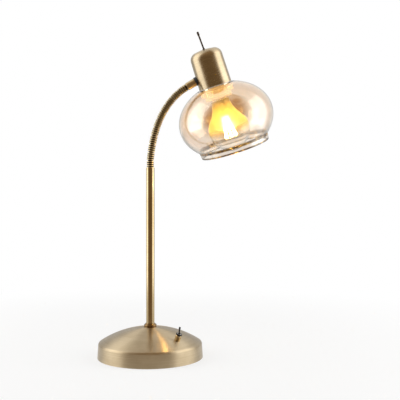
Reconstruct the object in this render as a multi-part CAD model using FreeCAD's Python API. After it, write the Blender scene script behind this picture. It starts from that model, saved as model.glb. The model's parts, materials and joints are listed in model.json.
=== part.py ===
"""Glass globe table lamp: a weighted round base, a straight stem, a gooseneck and a
spun cup that carries a lampholder, a clear bulb and an amber glass globe.

Millimetres.  +Z is up, +X points from the stem to the lamp's head, and -Y is the
side that the user faces.  The origin is the centre of the base's underside.
"""
import math
import os

import FreeCAD
import Part

# ---- driving dimensions --------------------------------------------------------
BASE_R = 75.0            # foot of the base cover
BAND_TOP_R = 73.9        # the side band draws in a little towards the top
BAND_H = 17.6            # height of the side band
DOME_R = 134.0           # spherical radius of the domed top
DOME_TOP = 42.9          # height of the dome at its centre
SHEET = 1.2              # spun sheet of the base and the cup

STEM_R = 6.0
STEM_BORE_R = 5.0
STEM_TOP = 269.6         # where the gooseneck starts

LINKS = 11               # links of the gooseneck
RIBS_PER_LINK = 4
RIB_PITCH = 3.0
LINK_L = RIBS_PER_LINK * RIB_PITCH
CREST_R = 5.4
ROOT_R = 4.75
BALL_R = 3.9
BALL_CLEARANCE = 0.05
NECK_BORE_R = 2.6
BEND_START = 4.0         # degrees from vertical where the neck leaves the stem
BEND_RATE = 0.11         # degrees per millimetre along the neck
BEND_GAIN = 0.0023       # growth of that rate, degrees per square millimetre

FERRULE_LEAN = 60.0      # degrees from vertical at the head end
FERRULE_L = 14.6
FERRULE_TO_AXIS = 41.0   # from the neck's end to the cup's axis, along the ferrule
HEAD_LEAN = 18.5         # the cup's axis from vertical, back over the stem
HEAD_TURN = 10.7         # the cup turned about the ferrule, its top to the user
NIPPLE_HEIGHT = 18.6     # where the ferrule's line meets the cup's axis, above its rim

CUP_R = 24.0
CUP_TOP_R = 23.2
CUP_H = 53.0
CUP_CORNER_R = 11.0

GLOBE_A = 69.4           # half width of the globe
GLOBE_B = 54.0           # half height of the ellipse that it is blown to
GLOBE_CENTRE = -51.0     # below the cup's rim
GLASS = 2.4              # wall of the globe
LIP_R = 52.0             # short collar round the open mouth
LIP_END = -95.0
FITTER_R = 20.6          # hole that the lampholder passes through

BULB_R = 30.0
BULB_CENTRE = -67.0
CAP_R = 13.1             # screw cap of the bulb, over its threads

SWITCH_RADIUS = 55.0     # from the stem's axis
SWITCH_AZIMUTH = -44.0   # degrees, towards the user on the head's side
LEVER_LEAN = 14.0        # half the throw of the toggle lever

X_AXIS, Y_AXIS, Z_AXIS = (FreeCAD.Vector(*v) for v in ((1, 0, 0), (0, 1, 0), (0, 0, 1)))
ORIGIN = FreeCAD.Vector(0, 0, 0)

os.makedirs("parts", exist_ok=True)


# ---- small tools ---------------------------------------------------------------
def at(x, z):
    """A point of a profile: x is the radius, z the height."""
    return FreeCAD.Vector(x, 0, z)


def outline(path):
    """Closed wire in the XZ plane.  A step (middle, end) is an arc through middle."""
    edges = []
    here = at(*path[0])
    for step in path[1:] + [path[0]]:
        if isinstance(step[0], tuple):
            middle, end = at(*step[0]), at(*step[1])
            edges.append(Part.Arc(here, middle, end).toShape())
        else:
            end = at(*step)
            if end.distanceToPoint(here) < 1e-6:
                continue
            edges.append(Part.makeLine(here, end))
        here = end
    return Part.Wire(edges)


def turned(path):
    """Solid of revolution about Z of an outline."""
    return Part.Face(outline(path)).revolve(ORIGIN, Z_AXIS, 360)


def rod(radius, low, high, x=0.0, y=0.0):
    return Part.makeCylinder(radius, high - low, FreeCAD.Vector(x, y, low))


def tube(outer, inner, low, high):
    return turned([(inner, low), (outer, low), (outer, high), (inner, high)])


def block(size_x, size_y, low, high, x=0.0, y=0.0):
    corner = FreeCAD.Vector(x - size_x / 2, y - size_y / 2, low)
    return Part.makeBox(size_x, size_y, high - low, corner)


def hexagon(across_flats, low, high):
    """Hexagonal prism about Z."""
    radius = across_flats / math.sqrt(3)
    corners = [FreeCAD.Vector(radius * math.cos(a), radius * math.sin(a), low)
               for a in (math.radians(60 * k) for k in range(7))]
    return Part.Face(Part.makePolygon(corners)).extrude(FreeCAD.Vector(0, 0, high - low))


def nut(across_flats, hole_r, low, high):
    """Hexagonal nut with chamfered corners."""
    reach = across_flats / math.sqrt(3)
    flat = across_flats / 2 - 0.3
    drop = (reach - flat) * 0.5
    dressing = turned([(hole_r, low), (flat, low), (reach, low + drop),
                       (reach, high - drop), (flat, high), (hole_r, high)])
    return hexagon(across_flats, low, high).common(dressing)


def bent_tube(route, radius, bend_r, bore_r=0.0):
    """Round wire or tube along straight runs joined by tangent arcs."""
    edges = []
    here = route[0]
    for before, corner, after in zip(route, route[1:], route[2:]):
        back = (before - corner).normalize()
        ahead = (after - corner).normalize()
        half = back.getAngle(ahead) / 2
        reach = bend_r / math.tan(half)
        centre_way = (back + ahead).normalize()
        start = corner + back * reach
        end = corner + ahead * reach
        middle = corner + centre_way * (bend_r / math.sin(half) - bend_r)
        edges.append(Part.makeLine(here, start))
        edges.append(Part.Arc(start, middle, end).toShape())
        here = end
    edges.append(Part.makeLine(here, route[-1]))
    spine = Part.Wire(edges)
    way = route[1] - route[0]

    def swept(r):
        section = Part.Wire(Part.makeCircle(r, route[0], way))
        return spine.makePipeShell([section], True, True)

    solid = swept(radius)
    return solid.cut(swept(bore_r)) if bore_r else solid


def placed(shape, placement):
    moved = shape.copy()
    moved.Placement = placement.multiply(moved.Placement)
    return moved


def dome_height(radius, drop=0.0):
    """Height of the dome at a radius, measured on a sphere smaller by drop."""
    sphere = DOME_R - drop
    return DOME_TOP - DOME_R + math.sqrt(sphere ** 2 - radius ** 2)


def save(name, shape):
    solid = shape.removeSplitter() if len(shape.Solids) > 1 else shape
    solids = solid.Solids
    assert solids and all(s.isValid() for s in solids), name
    keep = solids[0] if len(solids) == 1 else Part.Compound(solids)
    keep.exportStep("parts/" + name + ".step")
    print("%-18s solids %d  volume %.0f" % (name, len(solids), sum(s.Volume for s in solids)))


# ---- where the moving frames stand ----------------------------------------------
def neck_lean(distance):
    """Lean from vertical, in degrees, at a distance along the gooseneck."""
    return BEND_START + BEND_RATE * distance + BEND_GAIN * distance ** 2


def neck_frames():
    """One placement per link, each starting where the last one ends."""
    frames = []
    start = FreeCAD.Vector(0, 0, STEM_TOP)
    for index in range(LINKS):
        lean = neck_lean((index + 0.5) * LINK_L) if index else 0.0
        turn = FreeCAD.Rotation(Y_AXIS, lean)
        frames.append(FreeCAD.Placement(start, turn))
        start = start + turn.multVec(Z_AXIS) * LINK_L
    return frames, start


NECK, NECK_END = neck_frames()
FERRULE = FreeCAD.Placement(NECK_END, FreeCAD.Rotation(Y_AXIS, FERRULE_LEAN))
FERRULE_WAY = FERRULE.Rotation.multVec(Z_AXIS)
HEAD_ROTATION = FreeCAD.Rotation(FERRULE_WAY, HEAD_TURN).multiply(
    FreeCAD.Rotation(Y_AXIS, -HEAD_LEAN))
CUP_AXIS = HEAD_ROTATION.multVec(Z_AXIS)
CUP_RIM = NECK_END + FERRULE_WAY * FERRULE_TO_AXIS - CUP_AXIS * NIPPLE_HEIGHT
HEAD = FreeCAD.Placement(CUP_RIM, HEAD_ROTATION)
FERRULE_IN_HEAD = HEAD.inverse().multiply(FERRULE)


def switch_frame():
    """On the dome, with its Z square to the surface and its X down the slope."""
    azimuth = math.radians(SWITCH_AZIMUTH)
    slope = math.degrees(math.asin(SWITCH_RADIUS / DOME_R))
    seat = FreeCAD.Vector(SWITCH_RADIUS * math.cos(azimuth), SWITCH_RADIUS * math.sin(azimuth),
                          dome_height(SWITCH_RADIUS))
    turn = FreeCAD.Rotation(Z_AXIS, SWITCH_AZIMUTH).multiply(FreeCAD.Rotation(Y_AXIS, slope))
    return FreeCAD.Placement(seat, turn)


SWITCH = switch_frame()


# ---- base ----------------------------------------------------------------------
BAND_EDGE_R = 72.4                      # where the rounded shoulder meets the dome
WEIGHT_R = 69.0
WEIGHT_BOTTOM = 3.0
WEIGHT_TOP = 15.0
HUB_R = 16.0
RECESS_R = 13.0
RECESS_TOP = 17.0
PLATE_R = 72.6
PLATE_BOTTOM = 1.6
PLATE_TOP = 2.6
INLET_Z = 9.6
INLET_R = 4.6
SWITCH_HOLE_R = 3.3
PLATE_SCREW_R = 58.0
PLATE_SCREW_ANGLES = (30.0, 150.0, 270.0)


def dome_line(drop, radius):
    """Middle and end points of the dome's arc, from a radius up to the stem hole."""
    middle = radius * 0.55
    end = STEM_R - 0.6
    return ((middle, dome_height(middle, drop)), (end, dome_height(end, drop)))


def base_cover():
    """Spun cover: side band, rounded shoulder and dome, holed for stem, switch and inlet."""
    shoulder_z = dome_height(BAND_EDGE_R)
    inner_band = BAND_TOP_R - SHEET
    inner_edge = BAND_EDGE_R - 1.0
    shell = turned([
        (BASE_R - SHEET, 0.4), (BASE_R, 0.4), (BAND_TOP_R, BAND_H),
        ((BAND_TOP_R - 0.35, BAND_H + 2.3), (BAND_EDGE_R, shoulder_z)),
        dome_line(0.0, BAND_EDGE_R),
        (STEM_R - 0.6, dome_height(STEM_R - 0.6, SHEET)),
        ((BAND_EDGE_R * 0.55, dome_height(BAND_EDGE_R * 0.55, SHEET)),
         (inner_edge, dome_height(inner_edge, SHEET))),
        ((inner_band - 0.2, BAND_H + 1.4), (inner_band, BAND_H)),
    ])
    shell = shell.cut(placed(rod(SWITCH_HOLE_R, -4, 4), SWITCH))
    inlet = Part.makeCylinder(INLET_R, 12, FreeCAD.Vector(0, BASE_R - 8, INLET_Z), Y_AXIS)
    return shell.cut(inlet)


def base_weight():
    """Cast ballast disc: a hub up to the dome, a nut recess and two wiring slots."""
    hub_low, hub_high = (dome_height(r, SHEET) - 0.1 for r in (HUB_R, 5.2))
    disc = turned([
        (RECESS_R, WEIGHT_BOTTOM), (WEIGHT_R, WEIGHT_BOTTOM), (WEIGHT_R, WEIGHT_TOP - 3),
        (WEIGHT_R - 3, WEIGHT_TOP), (HUB_R + 4, WEIGHT_TOP),
        ((HUB_R + 1.2, WEIGHT_TOP + 1.2), (HUB_R, WEIGHT_TOP + 4)),
        (HUB_R, hub_low), (5.2, hub_high), (5.2, RECESS_TOP), (RECESS_R, RECESS_TOP)])
    rear_slot = block(17, 60, WEIGHT_BOTTOM - 1, WEIGHT_TOP + 1, 0, RECESS_R - 2 + 30)
    switch_slot = block(60, 22, WEIGHT_BOTTOM - 1, WEIGHT_TOP + 1, RECESS_R + 9 + 30, 0)
    switch_slot.rotate(ORIGIN, Z_AXIS, SWITCH_AZIMUTH)
    lead_slot = block(9, 20, WEIGHT_BOTTOM - 1, WEIGHT_BOTTOM + 6, 0, 0)
    lead_slot.translate(FreeCAD.Vector(RECESS_R + 3, 0, 0))
    lead_slot.rotate(ORIGIN, Z_AXIS, SWITCH_AZIMUTH)
    disc = disc.cut(rear_slot).cut(switch_slot).cut(lead_slot)
    for angle in PLATE_SCREW_ANGLES:
        hole = rod(1.6, WEIGHT_BOTTOM - 1, WEIGHT_BOTTOM + 8, PLATE_SCREW_R, 0)
        hole.rotate(ORIGIN, Z_AXIS, angle)
        disc = disc.cut(hole)
    return disc


def bottom_plate():
    """Pressed steel disc that closes the base, dished for its three screw heads."""
    plate = rod(PLATE_R, PLATE_BOTTOM, PLATE_TOP)
    for angle in PLATE_SCREW_ANGLES:
        hole = rod(2.0, PLATE_BOTTOM - 1, PLATE_TOP + 1, PLATE_SCREW_R, 0)
        hole.rotate(ORIGIN, Z_AXIS, angle)
        plate = plate.cut(hole)
    return plate


def base_pad():
    """Soft pad under the plate, cut out round the screw heads; the lamp rests on it."""
    pad = rod(PLATE_R - 1.0, 0.0, PLATE_BOTTOM)
    for angle in PLATE_SCREW_ANGLES:
        hole = rod(4.2, -1, PLATE_BOTTOM + 1, PLATE_SCREW_R, 0)
        hole.rotate(ORIGIN, Z_AXIS, angle)
        pad = pad.cut(hole)
    return pad


def plate_screws():
    """Three pan-head screws into the ballast."""
    screws = []
    head_low = PLATE_BOTTOM - 1.3
    for angle in PLATE_SCREW_ANGLES:
        screw = turned([(0, head_low), (2.6, head_low), (3.4, head_low + 0.6),
                        (3.4, PLATE_BOTTOM), (1.5, PLATE_BOTTOM), (1.5, 9.6), (0, 10.4)])
        slot = block(7, 0.8, head_low - 1, head_low + 0.6)
        screw = screw.cut(slot)
        screw.translate(FreeCAD.Vector(PLATE_SCREW_R, 0, 0))
        screw.rotate(ORIGIN, Z_AXIS, angle)
        screws.append(screw)
    return Part.Compound(screws)


def cord_bush():
    """Grommet that lines the cord inlet in the back of the base."""
    bush = turned([
        (3.3, -4.2), (5.6, -4.2), (5.6, -2.2), (4.5, -2.2), (4.5, 1.4), (5.9, 1.4),
        (5.9, 2.6), ((5.5, 3.4), (4.7, 3.7)), (3.3, 3.7)])
    wall_y = BASE_R - SHEET - (BASE_R - BAND_TOP_R) * INLET_Z / BAND_H
    turn = FreeCAD.Rotation(X_AXIS, -90)
    bush = placed(bush, FreeCAD.Placement(FreeCAD.Vector(0, wall_y + 0.25, INLET_Z), turn))
    wall = turned([
        (BASE_R - SHEET, 0.4), (BASE_R, 0.4), (BAND_TOP_R, BAND_H),
        (BAND_TOP_R - SHEET, BAND_H)])
    inlet = Part.makeCylinder(INLET_R, 12, FreeCAD.Vector(0, BASE_R - 8, INLET_Z), Y_AXIS)
    return bush.cut(wall.cut(inlet))


save("base_cover", base_cover())
save("base_weight", base_weight())
save("bottom_plate", bottom_plate())
save("base_pad", base_pad())
save("plate_screws", plate_screws())
save("cord_bush", cord_bush())


# ---- stem ----------------------------------------------------------------------
DOME_AT_STEM = dome_height(STEM_R)
COLLAR_H = 5.2
COLLAR_R = 9.0
NIPPLE_R = 4.9
NIPPLE_BORE_R = 3.6


def stem_collar():
    """Turned ring that hides the joint of stem and dome; its foot follows the dome."""
    top = DOME_TOP + COLLAR_H
    ring = turned([
        (STEM_R + 0.05, DOME_TOP - 2), (COLLAR_R, DOME_TOP - 2), (COLLAR_R, DOME_TOP + 2.2),
        ((COLLAR_R - 0.5, DOME_TOP + 3.6), (COLLAR_R - 1.8, DOME_TOP + 4.2)),
        (STEM_R + 0.9, top), (STEM_R + 0.05, top)])
    dome = Part.makeSphere(DOME_R + 0.02, FreeCAD.Vector(0, 0, DOME_TOP - DOME_R))
    return ring.cut(dome)


def stem_tube():
    """Straight brass tube, standing on the dome round its hole."""
    return tube(STEM_R, STEM_BORE_R, DOME_TOP, STEM_TOP)


def base_nipple():
    """Threaded tube that draws the stem, the cover and the ballast together."""
    return tube(NIPPLE_R, NIPPLE_BORE_R, 10.4, DOME_TOP + 16)


save("stem_collar", stem_collar())
save("stem_tube", stem_tube())
save("base_nipple", base_nipple())
save("base_washer", tube(11.5, NIPPLE_R + 0.15, RECESS_TOP - 1.4, RECESS_TOP))
save("base_nut", nut(16.0, NIPPLE_R + 0.02, RECESS_TOP - 5.2, RECESS_TOP - 1.4))


# ---- switch --------------------------------------------------------------------
# All in the switch's own frame: Z = 0 is the dome's surface under the sleeve.
SWITCH_BODY_TOP = -6.8
SWITCH_BODY_L = 12.4
BUSHING_R = 3.0
SLEEVE_R = 4.0
SLEEVE_TOP = 8.4
RING_NUT_TOP = 10.6
LEVER_PIVOT_Z = 8.4
LEVER_TIP = 20.0


def switch_body():
    """Moulded switch housing under the dome, with its top frame and two tags."""
    low = SWITCH_BODY_TOP - SWITCH_BODY_L
    body = block(13, 8, low, SWITCH_BODY_TOP - 1.2)
    frame = block(13.6, 8.6, SWITCH_BODY_TOP - 1.2, SWITCH_BODY_TOP)
    tags = [block(0.8, 4.6, low - 3.4, low, x, 0) for x in (-4.7, 4.7)]
    return body.fuse(frame).fuse(tags)


def switch_bushing():
    """Threaded bushing of the switch, open at the top for the lever's swing."""
    top = RING_NUT_TOP + 0.4
    return turned([
        (0, SWITCH_BODY_TOP), (BUSHING_R, SWITCH_BODY_TOP), (BUSHING_R, top),
        (2.6, top), (1.75, LEVER_PIVOT_Z), (1.75, LEVER_PIVOT_Z - 3), (0, LEVER_PIVOT_Z - 3)])


def switch_sleeve():
    """Brass spacer round the bushing, standing square on the dome."""
    return turned([
        (BUSHING_R + 0.05, 0), (SLEEVE_R, 0), (SLEEVE_R, SLEEVE_TOP - 0.5),
        (SLEEVE_R - 0.4, SLEEVE_TOP), (BUSHING_R + 0.05, SLEEVE_TOP)])


def switch_ring_nut():
    """Round dark nut that clamps the sleeve to the dome."""
    low = SLEEVE_TOP + 0.02
    return turned([
        (BUSHING_R + 0.02, low), (3.9, low), (4.3, low + 0.4), (4.3, RING_NUT_TOP - 0.5),
        (3.9, RING_NUT_TOP), (BUSHING_R + 0.02, RING_NUT_TOP)])


def switch_lever():
    """Bat lever: a ball on its pivot and a stalk that swells to a round tip."""
    base = LEVER_PIVOT_Z
    stalk = turned([
        (0, base - 1.55), (0.4, base - 1.55), ((1.21, base - 1.05), (1.6, base)),
        ((1.42, base + 0.75), (0.85, base + 1.4)), (0.95, base + 4), (1.35, LEVER_TIP - 1.4),
        ((1.1, LEVER_TIP - 0.4), (0.3, LEVER_TIP)), (0, LEVER_TIP)])
    stalk.rotate(FreeCAD.Vector(0, 0, base), Y_AXIS, -LEVER_LEAN)
    return stalk


save("switch_body", placed(switch_body(), SWITCH))
save("switch_bushing", placed(switch_bushing(), SWITCH))
save("switch_lock_nut", placed(nut(8.0, BUSHING_R + 0.02, -3.3, -1.4), SWITCH))
save("switch_sleeve", placed(switch_sleeve(), SWITCH))
save("switch_ring_nut", placed(switch_ring_nut(), SWITCH))
save("switch_lever", placed(switch_lever(), SWITCH))


# ---- gooseneck -----------------------------------------------------------------
SOCKET_RIM = -0.825       # the rim of a link's socket, below its ball's centre
SHOULDER = 2.125          # the shoulder of the link below, under that centre
CREST_HALF = 0.45
FLANK_HALF = 0.8
BALL_TOP = 2.6
SPIGOT_R = 4.9


def ball_radius(height, radius):
    return math.sqrt(radius ** 2 - height ** 2)


def rib_steps(low, high):
    """Zigzag of ribs between two heights: crest flats, flanks and root flats."""
    groove = (SOCKET_RIM - SHOULDER) / 2
    steps = [(ROOT_R, low)]
    for rib in range(RIBS_PER_LINK):
        middle = groove + (rib + 0.5) * RIB_PITCH
        for offset, radius in ((-FLANK_HALF, ROOT_R), (-CREST_HALF, CREST_R),
                               (CREST_HALF, CREST_R), (FLANK_HALF, ROOT_R)):
            steps.append((radius, middle + offset))
    steps.append((ROOT_R, high))
    return steps


def ball_end():
    """Upper end of a link: a drilled ball that the next link's socket turns on."""
    mid = (LINK_L, BALL_R)
    low_r = ball_radius(SHOULDER, BALL_R)
    top_r = ball_radius(BALL_TOP, BALL_R)
    return [(low_r, LINK_L - SHOULDER), ((mid[1], mid[0]), (top_r, LINK_L + BALL_TOP)),
            (NECK_BORE_R, LINK_L + BALL_TOP)]


def socket_end():
    """Lower end of a link: the hollow sphere, from its rim up to the bore."""
    hollow = BALL_R + BALL_CLEARANCE
    bore_z = math.sqrt(hollow ** 2 - NECK_BORE_R ** 2)
    rim_r = ball_radius(SOCKET_RIM, hollow)
    middle = math.radians(25)
    return [(NECK_BORE_R, bore_z),
            ((hollow * math.cos(middle), hollow * math.sin(middle)), (rim_r, SOCKET_RIM))]


def neck_link():
    """One length of the ribbed neck, with a socket below and a ball above."""
    path = socket_end()[::-1]
    hollow = path.pop(0)
    rim = hollow[1]
    steps = [rim] + rib_steps(SOCKET_RIM, LINK_L - SHOULDER) + ball_end()
    return turned(steps + [path[0], hollow])


def foot_link():
    """The neck's foot stands upright: a spigot in the stem, a flange, ribs and a ball."""
    groove = (SOCKET_RIM - SHOULDER) / 2
    ribs = [p for p in rib_steps(0, LINK_L - SHOULDER) if p[1] > groove + RIB_PITCH]
    foot = [(NECK_BORE_R, -13.0), (SPIGOT_R, -13.0), (SPIGOT_R, 0.0), (STEM_R - 0.2, 0.0),
            (STEM_R - 0.2, 0.7), (ROOT_R, 1.0)]
    return placed(turned(foot + ribs + ball_end()), NECK[0])


def last_link():
    """The neck's head end: a socket, ribs, and a spigot in line with the ferrule."""
    path = socket_end()[::-1]
    hollow = path.pop(0)
    steps = [hollow[1]] + rib_steps(SOCKET_RIM, LINK_L) + [(NECK_BORE_R, LINK_L)]
    ribbed = placed(turned(steps + [path[0], hollow]), NECK[-1])
    spigot = placed(rod(4.0, -1.0, 6.5), FERRULE)
    bores = [placed(rod(NECK_BORE_R, LINK_L - 3, LINK_L + 1), NECK[-1]),
             placed(rod(NECK_BORE_R, -1.0, 8), FERRULE)]
    return ribbed.fuse(spigot).cut(bores)


save("neck_link_01", foot_link())
for number in range(2, LINKS):
    save("neck_link_%02d" % number, placed(neck_link(), NECK[number - 1]))
save("neck_link_%02d" % LINKS, last_link())


# ---- ferrule and its fixing in the cup's side ---------------------------------------
SADDLE_R = 6.3
HEAD_NIPPLE_R = 3.95
CUP_WALL_AT = 17.9        # along the ferrule, to the inside of the cup's wall
INNER_NUT_LOW = 19.6
INNER_NUT_TOP = 22.4


def cup_envelope(inset):
    """Filled outline of the cup, drawn in by inset."""
    corner = CUP_CORNER_R - inset
    corner_r = CUP_TOP_R - CUP_CORNER_R
    corner_z = CUP_H - 1.2 - CUP_CORNER_R
    diagonal = corner * math.sqrt(0.5)
    return [(CUP_R - inset, 0.0 if inset == 0 else -0.0), (CUP_TOP_R - inset, corner_z),
            ((corner_r + diagonal, corner_z + diagonal), (corner_r, corner_z + corner)),
            ((corner_r / 2, CUP_H - inset - 0.35), (0, CUP_H - inset))]


def filled_cup(inset):
    return turned([(0, 0.0)] + cup_envelope(inset))


def in_head(shape):
    """From the ferrule's own frame to the head's."""
    return placed(shape, FERRULE_IN_HEAD)


def ferrule():
    """Smooth sleeve over the neck's end, tapped for the nipple at the cup."""
    return turned([
        (4.05, 0.5), (5.2, 0.5), (5.5, 1.1), (5.7, FERRULE_L - 0.7), (5.4, FERRULE_L),
        (HEAD_NIPPLE_R + 0.02, FERRULE_L), (HEAD_NIPPLE_R + 0.02, 7.2), (4.05, 7.2)])


def outer_saddle():
    """Dark washer that fills the wedge between the ferrule and the round cup."""
    bar = rod(SADDLE_R, FERRULE_L + 0.02, 30)
    hole = rod(HEAD_NIPPLE_R + 0.15, FERRULE_L - 1, 31)
    outside = turned([(0, -5), (CUP_R + 0.03 + 0.02 * 5, -5)]
                     + [(r + 0.03, z) for r, z in cup_envelope(0)[:2]] + [(0, 40)])
    return in_head(bar.cut(hole)).cut(outside)


def inner_saddle():
    """The same inside the cup, giving the nut a flat seat."""
    bar = rod(SADDLE_R, 12, INNER_NUT_LOW - 0.02)
    hole = rod(HEAD_NIPPLE_R + 0.15, 10, 31)
    inside = turned([(0, -5), (CUP_R - 1.05, -5), (CUP_R - 1.05, 0),
                     (CUP_TOP_R - 1.05, 40), (0, 40)])
    return in_head(bar.cut(hole)).common(inside)


save("ferrule", placed(ferrule(), FERRULE))
save("outer_saddle", placed(outer_saddle(), HEAD))
save("inner_saddle", placed(inner_saddle(), HEAD))
save("head_nipple", placed(tube(HEAD_NIPPLE_R, 2.8, 7.4, INNER_NUT_TOP + 0.8), FERRULE))
save("head_nut", placed(nut(11.0, HEAD_NIPPLE_R + 0.02, INNER_NUT_LOW, INNER_NUT_TOP), FERRULE))


# ---- cup, lampholder and handle -------------------------------------------------
HOLDER_R = 15.5           # upper body of the lampholder
HOLDER_TOP = 24.0
SKIRT_R = 19.6            # threaded skirt that carries the shade ring
SKIRT_END = -19.0
SHELL_R = 14.4
STRAP_T = 1.2
STRAP_W = 10.0
STRAP_IN = 15.1           # half the gap between the strap's legs
STRAP_TOP = 50.2
HANDLE_R = 1.2
HANDLE_LEAN = 3.0
HANDLE_REACH = 26.0       # above the cup's crown


def cup():
    """Spun brass cup over the lampholder, with a round shoulder and a slight crown."""
    inner = cup_envelope(1.0)
    shell = filled_cup(0.0).cut(turned([(0, -1.0), (inner[0][0], -1.0)] + inner))
    shell = shell.cut(in_head(rod(HEAD_NIPPLE_R + 0.1, 10, 30)))
    return shell.cut(rod(HANDLE_R + 0.35, CUP_H - 6, CUP_H + 2))


def holder_body():
    """Ceramic lampholder: flats for the strap, a bored mouth and a threaded skirt."""
    bore = SHELL_R + 0.1
    body = turned([
        (bore, SKIRT_END), (SKIRT_R - 0.5, SKIRT_END), (SKIRT_R, SKIRT_END + 0.8),
        (SKIRT_R, -2.6), (17.6, -1.6), (17.6, 6.0), (HOLDER_R, 7.6),
        (HOLDER_R, HOLDER_TOP - 1.0), (HOLDER_R - 1.0, HOLDER_TOP), (0, HOLDER_TOP),
        (0, 9.6), (bore, 9.6)])
    for side in (-1, 1):
        body = body.cut(block(40, 4, 8.2, 30, 0, side * (STRAP_IN - 0.1 + 2)))
        screw_hole = Part.makeCylinder(1.55, 5.2, FreeCAD.Vector(0, side * STRAP_IN, 15),
                                       FreeCAD.Vector(0, -side, 0))
        body = body.cut(screw_hole)
    terminal_wells = [block(4.6, 5.4, 16, 30, x, 0) for x in (-7.5, 7.5)]
    return body.cut(terminal_wells)


def holder_shell():
    """Rolled screw shell, with the wide round thread of the bulb's cap."""
    pitch, depth, wall = 3.6, 0.35, 0.35
    path_out, path_in = [], []
    turns = 6
    low = SKIRT_END + 1.5
    for k in range(turns + 1):
        z = low + k * pitch
        path_out.append((SHELL_R - depth, z))
        path_in.append((SHELL_R - depth - wall, z))
        if k < turns:
            path_out.append((SHELL_R, z + pitch / 2))
            path_in.append((SHELL_R - wall, z + pitch / 2))
    return turned(path_out + path_in[::-1])


def holder_contact():
    """Sprung tongue that presses on the bulb's centre contact."""
    strip = block(16, 4.5, 8.9, 9.5)
    tongue = block(8, 4.5, 7.2, 7.7, 0, 0)
    riser = block(0.6, 4.5, 7.2, 9.2, 3.9, 0)
    return strip.fuse([tongue, riser])


def holder_strap():
    """Bent steel strap: legs screwed to the lampholder, bridge under the cup's crown."""
    outer = block(STRAP_W, 2 * (STRAP_IN + STRAP_T), 10.5, STRAP_TOP)
    bend = outer.makeFillet(3.0, [e for e in outer.Edges
                                  if abs(e.CenterOfMass.z - STRAP_TOP) < 0.01
                                  and abs(abs(e.CenterOfMass.y) - STRAP_IN - STRAP_T) < 0.01])
    inner = block(STRAP_W + 2, 2 * STRAP_IN, 9, STRAP_TOP - STRAP_T)
    inner = inner.makeFillet(1.8, [e for e in inner.Edges
                                   if abs(e.CenterOfMass.z - STRAP_TOP + STRAP_T) < 0.01
                                   and abs(abs(e.CenterOfMass.y) - STRAP_IN) < 0.01])
    strap = bend.cut(inner).cut(rod(HANDLE_R + 0.35, 45, 55))
    for side in (-1, 1):
        strap = strap.cut(Part.makeCylinder(1.7, 4, FreeCAD.Vector(0, side * 13, 15),
                                            FreeCAD.Vector(0, side, 0)))
    return strap


def strap_screws():
    """Two cheese-head screws through the strap's legs."""
    screw = turned([(0, -4.6), (1.45, -4.6), (1.45, 0.02), (2.7, 0.02), (2.7, 1.5), (0, 1.9)])
    screw = screw.cut(block(6, 0.7, 1.2, 3))
    both = []
    for side in (-1, 1):
        seat = FreeCAD.Placement(FreeCAD.Vector(0, side * (STRAP_IN + STRAP_T), 15),
                                 FreeCAD.Rotation(X_AXIS, -90 * side))
        both.append(placed(screw, seat))
    return Part.Compound(both)


def handle_lean(shape):
    """The handle is a little out of line with the cup."""
    crown = FreeCAD.Vector(0, 0, CUP_H)
    shape.rotate(crown, Y_AXIS, -HANDLE_LEAN)
    return shape


def handle_rod():
    """Thin rod through the crown and the strap, with a collar that seats on the crown."""
    top = CUP_H + HANDLE_REACH
    return turned([
        (0, 45.2), (HANDLE_R - 0.1, 45.2), (HANDLE_R - 0.1, CUP_H + 0.12),
        (2.1, CUP_H + 0.12), (2.1, CUP_H + 0.8), (HANDLE_R, CUP_H + 1.2), (HANDLE_R, top - 6),
        (HANDLE_R + 0.4, top - 5), (HANDLE_R + 0.4, top - 0.8), (HANDLE_R - 0.3, top), (0, top)])


save("cup", placed(cup(), HEAD))
save("holder_body", placed(holder_body(), HEAD))
save("holder_shell", placed(holder_shell(), HEAD))
save("holder_contact", placed(holder_contact(), HEAD))
save("holder_strap", placed(holder_strap(), HEAD))
save("strap_screws", placed(strap_screws(), HEAD))
save("handle_rod", placed(handle_lean(handle_rod()), HEAD))
save("handle_nut", placed(handle_lean(nut(5.0, HANDLE_R - 0.08, 46.4, 48.6)), HEAD))


# ---- glass globe ----------------------------------------------------------------
GLASS_TOP = -1.0
RING_R = 25.4


def ellipse_point(a, b, radius, side):
    """Height on an ellipse of half axes a and b where it has this radius."""
    return GLOBE_CENTRE + side * b * math.sqrt(1 - (radius / a) ** 2)


def ellipse_arc(a, b, start_z, end_z):
    """Arc of the globe's ellipse between two heights, bulging outwards."""
    first = math.asin((start_z - GLOBE_CENTRE) / b)
    last = math.asin((end_z - GLOBE_CENTRE) / b)
    steps = 12
    points = []
    for k in range(steps + 1):
        t = first + (last - first) * k / steps
        points.append(at(a * math.cos(t), GLOBE_CENTRE + b * math.sin(t)))
    spline = Part.BSplineCurve()
    spline.interpolate(points)
    return spline.toShape()


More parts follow.
